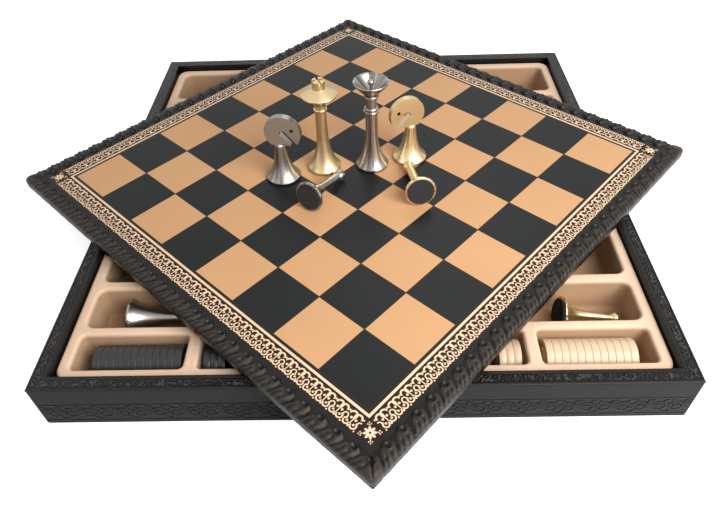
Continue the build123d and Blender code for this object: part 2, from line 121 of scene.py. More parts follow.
lamps = [
    area_lamp("key_lamp", (0.45, -0.52, 0.55), 0.6, 10.5),
    area_lamp("left_lamp", (-0.9, -0.5, 0.9), 0.5, 0.8),
    area_lamp("back_lamp", (0.2, 0.9, 1.2), 0.6, 2),
]
print("lamps", {lamp.name: round(lamp.data.energy, 1) for lamp in lamps})

# %% [markdown]
# ## Shader maths as plain expressions
# A material is a graph of nodes. Making and linking each node by hand hides the idea behind the
# wiring. Here a small class wraps a socket, so that `1 - mask * 2` makes the Math nodes by itself,
# and one method makes any other node.

# %% A wire that can be added and multiplied
class Wire:
    """A socket of a graph, with arithmetic."""

    def __init__(self, tree, socket):
        self.tree = tree
        self.socket = socket

    def between(self, operation, *values):
        """A Math node on these values."""
        node = self.tree.nodes.new("ShaderNodeMath")
        node.operation = operation
        for place, value in enumerate(values):
            feed(self.tree, node.inputs[place], value)
        return Wire(self.tree, node.outputs[0])

    def maths(self, operation, *others):
        """A Math node on this wire, and on others after it."""
        return self.between(operation, self, *others)

    def __add__(self, other):
        return self.maths("ADD", other)

    def __radd__(self, other):
        return self.between("ADD", other, self)

    def __sub__(self, other):
        return self.maths("SUBTRACT", other)

    def __rsub__(self, other):
        return self.between("SUBTRACT", other, self)

    def __mul__(self, other):
        return self.maths("MULTIPLY", other)

    def __rmul__(self, other):
        return self.between("MULTIPLY", other, self)

    def __truediv__(self, other):
        return self.maths("DIVIDE", other)

    def __rtruediv__(self, other):
        return self.between("DIVIDE", other, self)

    def __abs__(self):
        return self.maths("ABSOLUTE")

    def least(self, other):
        return self.maths("MINIMUM", other)

    def most(self, other):
        return self.maths("MAXIMUM", other)

    def over(self, edge, soft=0.0):
        """1 where this is over the edge, fading in across a soft width."""
        if not soft:
            return self.maths("GREATER_THAN", edge)
        return ((self - edge) / soft + 0.5).least(1).most(0)

    def under(self, edge, soft=0.0):
        """1 where this is under the edge."""
        return 1 - self.over(edge, soft)


def feed(tree, socket, value):
    """Link a wire to a socket, or set its value."""
    if isinstance(value, Wire):
        tree.links.new(value.socket, socket)
    else:
        socket.default_value = value


print("a wire knows", [name.strip("_") for name in vars(Wire) if callable(vars(Wire)[name])])

# %% A graph with one method for any node
class Graph:
    """The nodes of a material or of the world."""

    def __init__(self, tree):
        self.tree = tree

    def node(self, kind, settings=None, out=0, **sockets):
        """Make a node, set it up, fill its sockets and give one of its outputs.

        A socket is given by its name, with _ for a space, or as i and its number.
        """
        made = self.tree.nodes.new("ShaderNode" + kind)
        for name, value in (settings or {}).items():
            setattr(made, name, value)
        for name, value in sockets.items():
            place = int(name[1:]) if name[1:].isdigit() else name.replace("_", " ")
            feed(self.tree, made.inputs[place], value)
        return Wire(self.tree, made.outputs[out])


print("a graph makes any node through", Graph.node.__name__)

# %% [markdown]
# ## The world
# The picture has a white ground, while the light on the object is plain. A brighter world would
# wash the leather out. So the world is white only where the camera or a reflection sees it, and
# lights the object at about a third of that.

# %% World
world_light = 0.36
world = bpy.data.worlds.new("studio")
bpy.context.scene.world = world
world.use_nodes = True
sky = Graph(world.node_tree)
camera_ray = sky.node("LightPath", out="Is Camera Ray")
glossy_ray = sky.node("LightPath", out="Is Glossy Ray")
background = sky.tree.nodes["Background"]
feed(sky.tree, background.inputs["Color"], (1, 1, 1, 1))
seen = camera_ray.most(glossy_ray)
feed(sky.tree, background.inputs["Strength"], world_light + seen * (1 - world_light))
bpy.context.scene.view_settings.view_transform = "Standard"
print("world nodes", len(sky.tree.nodes))

# %% [markdown]
# ## A finish
# Each stuff of the real box has its own material: a base shader, patterns on the object's own
# coordinates, and relief. Image textures would need files and a layout of each mesh. Patterns worked
# out in millimetres need neither, and they keep their true scale on every piece.

# %% A material under construction
class Finish(Graph):
    """A material with coordinates in millimetres."""

    def __init__(self, name, colour, roughness, metallic=0.0):
        self.material = bpy.data.materials.new(name)
        self.material.use_nodes = True
        super().__init__(self.material.node_tree)
        self.shader = self.tree.nodes["Principled BSDF"]
        self.set(Base_Color=(*colour, 1), Roughness=roughness, Metallic=metallic)

    def set(self, **sockets):
        """Set or link sockets of the shader."""
        for name, value in sockets.items():
            feed(self.tree, self.shader.inputs[name.replace("_", " ")], value)

    def place(self, turn=0.0, at=(0, 0, 0)):
        """Object coordinates in millimetres, seen from axes turned and placed like this."""
        coords = self.node("TexCoord", out="Object")
        moved = self.node("VectorMath", {"operation": "SUBTRACT"}, i0=coords, i1=at)
        turned = self.node("VectorRotate", {"rotation_type": "Z_AXIS"}, Vector=moved, Angle=-turn)
        return self.node("VectorMath", {"operation": "SCALE"}, i0=turned, Scale=1 / mm)

    def split(self, where):
        """The x, y and z of a vector."""
        parts = self.node("SeparateXYZ", Vector=where).socket.node.outputs
        return [Wire(self.tree, part) for part in parts]

    def noise(self, where, scale, detail=3.0, roughness=0.5):
        """Noise at so many bumps per millimetre."""
        return self.node("TexNoise", Vector=where, Scale=scale, Detail=detail, Roughness=roughness)

    def blend(self, mask, first, second):
        """One colour, or the other where the mask is 1."""
        colours = [c if isinstance(c, Wire) else (*c, 1) for c in (first, second)]
        settings = {"data_type": "RGBA"}
        return self.node("Mix", settings, out=2, i0=mask, i6=colours[0], i7=colours[1])

    def bump(self, height, depth):
        """Relief from a height between 0 and 1, this deep in metres."""
        self.set(Normal=self.node("Bump", Strength=1.0, Distance=depth, Height=height))


materials = {}


def keep(slot, finish):
    """Keep a finish under the name of its slot."""
    materials[slot] = finish.material
    print(slot, "finish,", len(finish.tree.nodes), "nodes")

# %% Masks that the patterns share
def ring(x, y, at, radius, width, soft=0.25):
    """Mask of a ring, this wide to each side of its radius."""
    across = x - at[0]
    up = y - at[1]
    away = (across * across + up * up).maths("SQRT")
    return abs(away - radius).under(width, soft)


def dot(x, y, at, size, soft=0.25):
    """Mask of a round dot."""
    return ring(x, y, at, 0.0, size, soft)


def all_of(masks):
    """Mask of several masks together."""
    together = masks[0]
    for mask in masks[1:]:
        together = together.most(mask)
    return together


def chosen(mask, first, second):
    """The first value where the mask is 1, the second where it is 0."""
    return first * mask + second * (1 - mask)


def from_middle(along, pitch, shift=0.5):
    """Distance from the middle of the nearest motif of a row."""
    return abs(((along / pitch + shift).maths("FRACT") - 0.5) * pitch)


print("masks", [mask.__name__ for mask in (ring, dot, all_of, chosen, from_middle)])

# %% [markdown]
# ## The printed playing sheet
# The real sheet is black leatherette with bronze squares printed on it, framed by a line and a
# running band of gold scrolls. The squares could be faces of their own, but a print has no
# thickness, so all of it is masks in the board's own millimetres.

# %% Sizes of the print in millimetres, and its colours
square = 40
squares_each_way = 4
grid_half = squares_each_way * square
frame_line, frame_line_half = 162.7, 0.85
seam_half = 0.32
corner_start = 163.0
band_start, band_end = 164.4, 176.4
ground_margin = 0.2
motif_pitch = 10.5
motif_base = 164.9
rosette_out = 169.8
black = (0.014, 0.015, 0.015)
bronze = (0.60, 0.335, 0.165)
gold = (0.82, 0.58, 0.38)
umber = (0.022, 0.012, 0.010)
seam_brown = (0.03, 0.018, 0.012)
print("grid", 2 * grid_half, "mm, band", round(band_end - band_start, 1), "mm")

# %% The squares
def squares_mask(x, y):
    """1 on the bronze squares."""
    column = (x / square + squares_each_way).maths("FLOOR")
    row = (y / square + squares_each_way).maths("FLOOR")
    odd = (column + row).maths("MODULO", 2)
    return odd.under(0.5)


print("squares", (2 * squares_each_way) ** 2)

# %% [markdown]
# ## The running band
# The gold band is a scroll that repeats along each side, a common border on printed boards. One
# motif is drawn with rings and dots, as a compass would, and folded about its middle, so that half
# of it serves both halves and one side serves all four.

# %% One motif of the scroll
def scroll_mask(along, out):
    """Gold line work of the band: s runs from the motif's middle, t up from its base."""
    s = from_middle(along, motif_pitch)
    t = out - motif_base
    bud_across = (t - 2.7) / 1.8
    bud = (s * s + bud_across * bud_across).under(1, 0.3)
    stem = s.under(0.3, 0.2) * t.over(3.9) * t.under(8.2)
    leaf = ring(s, t, (1.9, 2.9), radius=2.3, width=0.55) * (t + s * 0.5).under(4.9, 0.3)
    scroll = ring(s, t, (2.6, 8.0), radius=1.9, width=0.45) * (s * 0.8 + t).over(8.6, 0.3)
    tendril = ring(s, t, (5.25, 5.6), radius=1.55, width=0.38) * t.under(6.2, 0.3)
    ends = [dot(s, t, (1.7, 4.7), 0.75), dot(s, t, (2.4, 7.6), 0.7), dot(s, t, (4.3, 7.2), 0.55)]
    tips = [dot(s, t, (0, 9.6), 0.7), dot(s, t, (5.25, 10.3), 0.55), dot(s, t, (5.25, 1.7), 0.6)]
    return all_of([bud, stem, leaf, scroll, tendril, *ends, *tips])


print("motifs a side", round(2 * corner_start / motif_pitch))

# %% [markdown]
# ## The corner rosettes
# At each corner the band stops at a small flower. Eight petals come from a cosine of the angle
# round its middle, which is shorter than drawing each petal, and four clusters of dots fill the
# corners round it.

# %% Rosette
def rosette_mask(x, y):
    """Eight petals at each corner of the board, with clusters of dots."""
    across = abs(x) - rosette_out
    up = abs(y) - rosette_out
    away = (across * across + up * up).maths("SQRT")
    petal = abs((up.maths("ARCTAN2", across) * 4).maths("COSINE"))
    flower = (away - petal * 2.1).under(1.9, 0.25) * away.over(0.7, 0.2)
    cluster = ((3.4, 3.4, 0.45), (4.5, 4.5, 0.4), (3.1, 4.5, 0.4), (4.5, 3.1, 0.4))
    dots = [dot(abs(across), abs(up), (right, top), size) for right, top, size in cluster]
    return all_of([flower, *dots])


print("rosettes", round(rosette_out, 1), "mm out")

# %% [markdown]
# ## The sheet's material
# Colour, gloss and relief all come from the same masks, so they can't slip against each other. The
# print is a little duller than the leatherette round it, and the gold stands up by a hair.

# %% Masks of the sheet
sheet = Finish("printed_leatherette", black, 0.42)
sheet.set(Specular_IOR_Level=0.13)
on_sheet = sheet.place(board_turn, board_centre)
x, y = sheet.split(on_sheet)[:2]
out = abs(x).most(abs(y))
along = chosen(abs(x).over(abs(y)), y, x)
near_corner = abs(x).least(abs(y)).over(corner_start)
bronze_part = squares_mask(x, y) * out.under(grid_half - 0.1, 0.2)
frame_part = abs(out - frame_line).under(frame_line_half, 0.2)
band = scroll_mask(along, out) * out.over(band_start) * out.under(band_end) * (1 - near_corner)
gold_part = all_of([frame_part, band, rosette_mask(x, y) * near_corner])
ground = out.over(band_start - ground_margin) * out.under(band_end + ground_margin)
seam = from_middle(x, square).least(from_middle(y, square)).under(seam_half, seam_half / 2)
seam = seam * out.under(grid_half + 1)
print("mask nodes", len(sheet.tree.nodes))

# %% Colour and relief of the sheet
grain = sheet.noise(on_sheet, 2.2, 4.0, 0.6)
cloud = sheet.noise(on_sheet, 0.012, 2.0)
bronze_shades = [tuple(c * share for c in bronze) for share in (0.93, 1.07)]
colour = sheet.blend(bronze_part, black, sheet.blend(cloud, *bronze_shades))
colour = sheet.blend(ground, colour, umber)
colour = sheet.blend(gold_part, colour, gold)
sheet.set(Base_Color=sheet.blend(seam, colour, seam_brown))
sheet.set(Roughness=0.29 + grain * 0.08 + bronze_part * 0.06)
sheet.bump(grain * 0.6 + gold_part * 0.25 - seam * 0.3, 0.07 * mm)
keep("printed_leatherette", sheet)

# %% [markdown]
# ## The rim's leatherette
# The top of the rim is stamped all over with fine scrolls between two lines of beads. At this size
# the scrolls read as curls, so they are rings round the cells of a Voronoi pattern rather than drawn
# one by one. The high spots are painted paler, as a highlight.

# %% Rim
rim_middle = box_half / mm - 4.5
bead_pitch = 1.6
bead_out, seam_out, field_half = 3.6, 2.6, 2.4
rim = Finish("rim_leatherette", (0.02, 0.02, 0.02), 0.35)
rim.set(Specular_IOR_Level=0.3)
on_rim = rim.place()
x, y = rim.split(on_rim)[:2]
out = abs(x).most(abs(y)) - rim_middle
along = abs(x).least(abs(y))
cells = rim.node("TexVoronoi", {"feature": "F1"}, Vector=on_rim, Scale=0.34, Randomness=0.8)
curls = (cells * 11).maths("SINE")
grain = rim.noise(on_rim, 3.0)
beads = dot(from_middle(along, bead_pitch, 0.0), abs(out) - bead_out, (0, 0), 0.55, 0.3)
seam = abs(abs(out) - seam_out).under(0.2, 0.3)
field = abs(out).under(field_half, 0.4)
height = field * (curls * 0.4 + grain * 0.35 + 0.25) + beads * 0.7 - seam * 0.4
# Painted highlight: the high curls and beads are paler than the black ground.
rim.set(Base_Color=rim.blend(height.over(0.72, 0.45), (0.003, 0.003, 0.003), (0.075, 0.068, 0.058)))
rim.set(Roughness=0.36 - height * 0.12)
rim.bump(height, 2.2 * mm)
keep("rim_leatherette", rim)

# %% [markdown]
# ## The sides' leatherette
# The sides are smooth above and carry a stamped running band below. The stamp is shallow, so it is
# relief in the material and not in the mesh. It is drawn with rings as the gold band is, at twice
# the size.

# %% Stamped band
side_pitch = 22
side_middle = 12.5
side_top = 24


def stamp_mask(along, z):
    """The stamped band: s runs from the motif's middle, t up from the band's."""
    s = from_middle(along, side_pitch)
    t = z - side_middle
    curl = ring(s, t, (5.8, 0), radius=4.2, width=0.9, soft=0.9)
    curl_eye = ring(s, t, (5.8, 0), radius=1.2, width=1.2, soft=0.8)
    heart = ring(s, t, (0, 0), radius=1.6, width=1.6, soft=0.8)
    leaves = [ring(s, t, (side_pitch / 2, up), radius=2.6, width=0.9, soft=0.9) for up in (4.4, -4.4)]
    bud = ring(s, t, (0, 5.2), radius=1.3, width=1.0, soft=0.8)
    rails = abs(abs(t) - 8.6).under(0.6, 0.8)
    return all_of([curl, curl_eye, heart, *leaves, bud, rails]) * z.under(side_top)


print("stamped motifs a side", round(2 * box_half / mm / side_pitch))

# %% Sides
side = Finish("side_leatherette", (0.02, 0.022, 0.023), 0.4)
side.set(Specular_IOR_Level=0.1)
on_side = side.place()
x, y, z = side.split(on_side)
right_or_left = abs(abs(x) - box_half / mm).under(1.0)
stamp = stamp_mask(chosen(right_or_left, y, x), z)
grain = side.noise(on_side, 2.6, 4.0, 0.6)
side.set(Base_Color=side.blend(stamp, (0.011, 0.012, 0.012), (0.006, 0.007, 0.007)))
side.set(Roughness=0.3 + grain * 0.16 - stamp * 0.05)
side.bump(grain * 0.05 + stamp * 0.75, 4 * mm)
keep("side_leatherette", side)

# %% [markdown]
# ## The edge's leather
# The laced edge is real leather, browned and shiny where it stands up. Near black in the folds,
# in the holes and down the side is painted shade. A shade mask could be worked out from the mesh's
# curvature. The strip's own formula knows its folds, so it will write its tone and painted shade
# into an attribute, "lobe", and the material reads that.

# %% Edge
edge = Finish("edge_leather", (0.04, 0.035, 0.03), 0.5)
edge.set(Specular_IOR_Level=0.2)
on_edge = edge.place(board_turn, board_centre)
worn = edge.noise(on_edge, 0.35, 4.0, 0.65)
grain = edge.noise(on_edge, 3.2, 4.0, 0.6)
lobe = edge.node("Attribute", {"attribute_name": "lobe"}, out="Fac")
browned = edge.blend(worn, (0.020, 0.016, 0.012), (0.056, 0.045, 0.034))
# The attribute "lobe" is brown on the lobes and near black where shade is painted: in the creases, in the
# holes and down the side.
edge.set(Base_Color=edge.blend(lobe, (0.002, 0.002, 0.002), browned))
edge.set(Roughness=0.16 + lobe * 0.16 + grain * 0.12)
edge.bump(grain, 0.12 * mm)
keep("edge_leather", edge)

# %% [markdown]
# ## The tray's flock
# Flock is short fibre blown on glue: matt, soft and a little uneven. Its colour has painted light on
# the ledges and painted shade down in the pockets. A hair system would be slow for fibres this short,
# so noise gives the nap and the height switches between the painted light and shade.

# %% Flock
ledge_height = 31
flock = Finish("flock", (0.62, 0.42, 0.30), 0.95)
on_flock = flock.place()
z = flock.split(on_flock)[2]
nap = flock.noise(on_flock, 1.6, 5.0, 0.7)
cloud = flock.noise(on_flock, 0.03, 3.0)
# Lit and shaded copies of the flock's colour: painted light on the ledges, painted shade in the pockets.
ledge_with_painted_light = flock.blend(cloud, (0.76, 0.52, 0.35), (0.86, 0.62, 0.45))
pocket_with_painted_shade = flock.blend(cloud, (0.42, 0.25, 0.13), (0.50, 0.31, 0.175))
painted_light_and_shade = flock.blend(z.over(ledge_height, 3.5), pocket_with_painted_shade, ledge_with_painted_light)
flock.set(Base_Color=flock.blend(nap * 0.22, painted_light_and_shade, (0.34, 0.2, 0.115)))
flock.set(Sheen_Weight=0.08, Sheen_Roughness=0.6)
flock.bump(nap, 0.4 * mm)
keep("flock", flock)

# %% [markdown]
# ## Plain stuffs
# Felt, raw fibreboard, lining, draughts and the blacking in the knights' eyes differ only in their
# colour, gloss and grain. One function makes them all, with a little variation of shade, because
# no real surface is one even colour.

# %% Felt, board, lining and draughts
def plain_finish(name, colour, roughness, scale, depth, spread=0.25):
    """A matt or satin stuff with fine grain and a little shade variation."""
    finish = Finish(name, colour, roughness)
    grain = finish.noise(finish.place(), scale, 4.0, 0.6)
    darker = tuple(c * (1 - spread) for c in colour)
    paler = tuple(min(1, c * (1 + spread)) for c in colour)
    finish.set(Base_Color=finish.blend(grain, darker, paler))
    finish.set(Roughness=roughness - 0.06 + grain * 0.12)
    finish.bump(grain, depth)
    keep(name, finish)


plain_finish("felt", (0.018, 0.018, 0.02), 0.95, 2.5, 0.2 * mm)
plain_finish("board_wood", (0.36, 0.25, 0.15), 0.8, 0.8, 0.1 * mm)
plain_finish("lining", (0.028, 0.029, 0.03), 0.5, 2.4, 0.1 * mm)
plain_finish("cream_draught", (0.59, 0.435, 0.285), 0.45, 0.5, 0.03 * mm, 0.06)
plain_finish("dark_draught", (0.016, 0.016, 0.018), 0.38, 0.8, 0.03 * mm, 0.2)
plain_finish("blacking", (0.006, 0.005, 0.005), 0.6, 2.0, 0.1 * mm)

# %% [markdown]
# ## Turned metal
# The men are turned from brass, half of them blackened to gunmetal and rubbed back, which leaves soft
# dark streaks down each flare. Anisotropic gloss would need tangents on every mesh. So the streaks in
# the colour, noise over "spin", an attribute that goes round each man with its surface, are partly
# that rubbing and partly painted reflection in place of the streaked gloss.

# %% Brass and gunmetal
def metal_finish(name, deep, bright, roughness, metallic=1.0):
    """Metal with streaks of painted reflection down the flare and a fine grain."""
    finish = Finish(name, bright, roughness, metallic)
    spin = finish.node("Attribute", {"attribute_name": "spin"}, out="Vector")
    streaks_and_painted_reflection = finish.noise(spin, 2.6, 4.0, 0.65)
    brushed = finish.noise(finish.place(), 3.0, 3.0, 0.7)
    # The streaks blend in painted reflection: dark and bright bands down each man.
    mask = ((streaks_and_painted_reflection - 0.5) * 3.4 + (brushed - 0.5) * 0.5 + 0.6).least(1).most(0)
    finish.set(Base_Color=finish.blend(mask, deep, bright))
    finish.set(Roughness=roughness - 0.08 + brushed * 0.2)
    finish.bump(brushed, 0.04 * mm)
    keep(name, finish)


metal_finish("satin_brass", (0.40, 0.26, 0.10), (0.90, 0.73, 0.45), 0.30)
metal_finish("gunmetal", (0.045, 0.038, 0.033), (0.52, 0.48, 0.44), 0.28)
metal_finish("brass_coin", (0.62, 0.44, 0.20), (0.80, 0.61, 0.33), 0.38, 0.9)
metal_finish("gunmetal_coin", (0.34, 0.31, 0.27), (0.46, 0.42, 0.37), 0.38, 0.85)

# %% [markdown]
# ## Dress the model's own pieces
# The record says which slot each piece takes its finish from, so a loop dresses them all. That is
# safer than a list typed here, which could miss a piece.

# %% Finishes on the model's nodes
slot_of = {part["node"]: part["material_slot"] for part in record["subparts"]}
body_of = {node: body for body, held in record["behaviour"]["bodies"].items() for node in held}


def dress(piece, slot):
    """Give a piece this finish alone."""
    piece.data.materials.clear()
    piece.data.materials.append(materials[slot])


for name, node in nodes.items():
    dress(node, slot_of[name])

# %% [markdown]
# ## New pieces stand for the model's
# A new piece rides on the same body as the node that it stands for, so it moves with it at every
# pose. One helper does this for every piece below, and none can be forgotten.

# %% Helpers for a new piece
def select_only(piece):
    """Select one piece and nothing else."""
    bpy.ops.object.select_all(action="DESELECT")
    piece.select_set(True)
    bpy.context.view_layer.objects.active = piece


def finish_piece(piece, replaced, finish=None):
    """Dress a finished piece, let it ride with its node's body and stand for the nodes."""
    slot = slot_of[replaced[0]]
    dress(piece, finish or slot)
    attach(piece, body_of[replaced[0]])
    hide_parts(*replaced)
    return piece


print("slots", sorted(set(slot_of.values())))

# %% [markdown]
# ## Smooth copies
# The model's meshes are loose triangles, so its round pieces look faceted. They could be modelled
# again, but their shape is right already. A copy with its corners merged can be shaded smooth by
# angle.

# %% A smooth copy of a node
smooth_angle = radians(32)


def smooth_copy(node_name):
    """A merged, smooth-shaded copy of a node."""
    copy = bpy.data.objects.new(node_name + "_smooth", nodes[node_name].data.copy())
    bpy.context.scene.collection.objects.link(copy)
    select_only(copy)
    bpy.ops.object.mode_set(mode="EDIT")
    bpy.ops.mesh.select_all(action="SELECT")
    bpy.ops.mesh.remove_doubles(threshold=0.01 * mm)
    bpy.ops.object.mode_set(mode="OBJECT")
    bpy.ops.object.shade_smooth_by_angle(angle=smooth_angle)
    return finish_piece(copy, [node_name])


print("smooth up to", round(smooth_angle, 2), "radians")

# %% [markdown]
# ## Rounded rims and covers
# Leatherette is glued over the walls and round their corners, so no edge of it is sharp. A bevel
# modifier on a copy rounds them all at once and catches a line of light, which a bump could not.

# %% Rim strips and covers
def round_edges(piece, width, segments, angle):
    """Round a piece's sharp edges, and shade it smooth up to an angle."""
    select_only(piece)
    edge = piece.modifiers.new("edge", "BEVEL")
    edge.width = width
    edge.segments = segments
    edge.limit_method = "ANGLE"
    bpy.ops.object.modifier_apply(modifier="edge")
    bpy.ops.object.shade_smooth_by_angle(angle=angle)


for side_name in ("front", "right", "back", "left"):
    for layer in ("rim", "cover"):
        leatherette = smooth_copy(f"{side_name}_{layer}")
        round_edges(leatherette, 0.7 * mm, 3, smooth_angle)
        print(leatherette.name, len(leatherette.data.polygons), "faces")

# %% [markdown]
# ## Draughts, stored men and the tray
# The draughts stand on edge in their troughs, and the spare men lie in the tray, which is one formed
# sheet. Their shape in the model is right, so smooth copies do. The felt pads are flat and need none.

# %% Copies of the stored pieces
smooth_nodes = [name for name in nodes if name.startswith("stored_") and name != "stored_pads"]
smooth_nodes += [name for name in nodes if "draughts" in name] + ["tray"]
for name in smooth_nodes:
    smooth_copy(name)
print("smooth copies", len(smooth_nodes))

# %% [markdown]
# ## The laced leather edge
# A strip of leather is drawn over the board's edge through a row of holes, so it puckers. Sculpting
# would do it by hand, hole by hole. As the holes repeat, each side is one flat grid instead, bent
# round the edge by this section and then raised by a formula.

# %% Section of the edge, from the sheet over the top and down
edge_bulge = 0.7 * mm
edge_radius = 3.6 * mm
edge_depth = 10 * mm
tucked_under = ((0.3, 2.2), (1.0, 0.6), (2.6, 0.05))
section_steps = 6
grid_across = 40


def edge_path():
    """The section's outline, as distance out and height over the sheet."""
    flat_end = board_half - edge_radius
    path = [(sheet_half, 0.0)]
    for share in np.linspace(0, 1, section_steps + 1)[1:]:
        path.append((sheet_half + share * (flat_end - sheet_half), edge_bulge * sin(share * pi / 2)))
    for turn in np.linspace(0, pi / 2, section_steps + 1)[1:]:
        drop = edge_radius * (1 - cos(turn))
        path.append((flat_end + edge_radius * sin(turn) * 0.96, edge_bulge - drop))
    for inward, up in tucked_under:
        path.append((board_half - inward * mm, up * mm - edge_depth))
    return np.array(path)


def edge_section(count):
    """Even points of the section, with their outward normals and their way along it."""
    path = edge_path()
    reach = np.concatenate([[0], np.cumsum(np.hypot(*np.diff(path, axis=0).T))])
    share = np.linspace(0, reach[-1], count)
    points = np.stack([np.interp(share, reach, path[:, i]) for i in (0, 1)], axis=1)
    slope = np.gradient(points, axis=0)
    normals = np.stack([-slope[:, 1], slope[:, 0]], axis=1)
    return points, normals / np.linalg.norm(normals, axis=1)[:, None], share


points, normals, travel = edge_section(grid_across + 1)
print("leather across the edge", round(travel[-1] / mm, 1), "mm")

# %% [markdown]
# ## How the leather puckers
# Each hole pulls the leather into a lobe, and creases run between and across the lobes. A cloth
# simulation could gather it, but with so many holes it would be slow and hard to steer. So the place
# of a point in its lobe is worked out, and everything else follows from that.

# %% Where a point lies in its lobe
fold_lean, lean_reach = 0.55, 9


def smooth_step(value):
    """A soft step from 0 to 1 as the value goes from 0 to 1."""
    value = np.clip(value, 0, 1)
    return value * value * (3 - 2 * value)


def place_in_lobe(along, reach):
    """The lobe's number, and the place across it from -0.5 to 0.5, a little uneven."""
    shift = along + fold_lean * np.clip(reach, 0, lean_reach) * mm
    number = np.round((shift + hole_line) / hole_pitch)
    return number, (shift + hole_line) / hole_pitch - number + 0.05 * np.sin(number * 13.7)


print("a lobe is", round(hole_pitch / mm, 1), "mm wide and leans", fold_lean, "mm a millimetre")

# %% Creases across and between the lobes
lobe_gap_width = 0.09
crease_width = 0.075
crease_start, crease_end = 2.2, 16.5
lobe_creases = ((-0.2, 0.85), (0.13, 0.9))


def crease_depth(number, across, reach):
    """Depth, from 0 to 1, of the gap between lobes and of the creases in them."""
    crease = np.exp(-(((abs(across) - 0.5) / lobe_gap_width) ** 2))
    start = smooth_step((reach - crease_start) / 1.5)
    for place, depth in lobe_creases:
        wander = 0.03 * np.sin(number * 7.1 + place * 40) + 0.02 * np.sin(reach * 0.9 + number)
        line = np.exp(-(((across - place - wander) / crease_width) ** 2))
        crease = np.maximum(crease, start * depth * line)
    return crease * smooth_step((crease_end - reach) / 3)


print("creases in a lobe", len(lobe_creases))

# %% Height and shade of the leather
lobe_base, lobe_dome, crease_cut = 0.3, 0.8, 1.1
lobe_lead, lobe_curve, lobe_fade = 3.2, 21, 1.2
ring_rise, ring_radius, ring_width = 0.8, 2.4, 0.8
pit_dip, pit_radius = 0.9, 1.6
flat_from, painted_shade_from = 5.5, 8.5
mitre_fade = 1.4 * mm


def pucker(along, out, way):
    """Height of the leather over its section, and its tone: brown lobe, painted shade in folds, holes and
    down the side.
    """
    hole = np.round((along + hole_line) / hole_pitch) * hole_pitch - hole_line
    gap = np.hypot(along - hole, out - hole_line) / mm
    reach = (way - (hole_line - sheet_half)) / mm
    number, across = place_in_lobe(along, reach)
    by_holes = smooth_step((hole_line + 2 * mm - abs(along)) / (3 * mm))
    lobe = smooth_step((reach + lobe_lead - lobe_curve * across**2 * by_holes) / lobe_fade)
    dome = np.cos(across * pi * by_holes) ** 2
    crease = crease_depth(number, across, reach) * by_holes
    loop = np.exp(-(((gap - ring_radius) / ring_width) ** 2)) * (1 - 0.35 * np.tanh(reach))
    pit = np.exp(-((gap / pit_radius) ** 4))
    down_the_side = 1 - 0.88 * smooth_step((reach - flat_from) / 3)
    rise = lobe * down_the_side * (lobe_base + lobe_dome * dome - crease_cut * crease)
    rise = (rise + ring_rise * loop - pit_dip * pit) * mm
    # The tone takes painted shade in the creases and in the holes, and is black on the lace loops.
    shade = lobe * (1 - crease) * (1 - pit) * (1 - 0.85 * np.clip(loop, 0, 1))
    # Painted shade darkens the leather lower down the side.
    shade *= 1 - 0.75 * smooth_step((reach - painted_shade_from) / 4)
    return rise * smooth_step((out - abs(along)) / mitre_fade), np.clip(shade, 0, 1)


print("highest lobe", round(lobe_base + lobe_dome, 1), "mm, ring", ring_rise, "mm")

# %% [markdown]
# ## Four strips, mitred
# Each side of the board has its own strip, and they meet at the corners. The grid is added flat
# with an operator, its points are placed, and its far corners are cut back a little, because the
# real corner is blunt.

# %% Build the four strips
corner_cut = 1.75 * mm
grid_along = int(round(2 * board_half / (hole_pitch / 24)))


def place_strip(flat):
    """Where the points of a flat grid go, and their tone with its painted shade."""
    row = np.round((flat[:, 1] + 1) / 2 * grid_across).astype(int)
    out = points[row, 0]
    rise, shade = pucker(flat[:, 0] * out, out, travel[row])
    far = np.minimum(out + normals[row, 0] * rise, board_half - 0.1 * mm)
    both_ways = 1 + abs(flat[:, 0])
    far -= np.maximum(0, far * both_ways - 2 * board_half + corner_cut) / both_ways
    return np.stack([flat[:, 0] * far, -far, points[row, 1] + normals[row, 1] * rise], axis=1), shade


def laced_strip(name, side_turn, replaced):
    """One side's strip, bent round the edge from a flat grid."""
    bpy.ops.object.select_all(action="DESELECT")
    bpy.ops.mesh.primitive_grid_add(x_subdivisions=grid_along, y_subdivisions=grid_across, size=2)
    strip = bpy.context.object
    strip.name = name
    placed, shade = place_strip(np.array([v.co for v in strip.data.vertices]))
    strip.data.vertices.foreach_set("co", placed.ravel())
    strip.data.attributes.new("lobe", "FLOAT", "POINT").data.foreach_set("value", shade)
    strip.data.transform(board_axes @ Matrix.Rotation(side_turn, 4, "Z"))
    bpy.ops.object.mode_set(mode="EDIT")
    bpy.ops.mesh.select_all(action="SELECT")
    bpy.ops.mesh.normals_make_consistent(inside=False)
    bpy.ops.object.mode_set(mode="OBJECT")
    bpy.ops.object.shade_smooth()
    strip.matrix_world = Matrix.Identity(4)
    return finish_piece(strip, replaced)


sides = {"near_left": 0, "near_right": 90, "far_right": 180, "far_left": 270}
for side_name, turn in sides.items():
    replaced = [f"{side_name}_binding", f"{side_name}_lacing"]
    strip = laced_strip(f"{side_name}_laced_edge", radians(turn), replaced)
print("edge strip", len(strip.data.polygons), "faces a side")

# %% [markdown]
# ## The men on the board
# Each man is turned on a lathe, so its outline is drawn once, from the axis out and up, and spun.
# Stacked cylinders and cones would show hard joints. The outlines repeat the model's feet, necks
# and heads in millimetres over the board, with finer curves between them.

# %% Curves and arcs of an outline
def curve(start, pull, end, count=14):
    """Points of a curve from start to end, drawn towards a third point."""
    shares = np.linspace(0, 1, count + 1)[1:]
    return [
        tuple((1 - t) ** 2 * a + 2 * t * (1 - t) * b + t * t * c for a, b, c in zip(start, pull, end))
        for t in shares
    ]


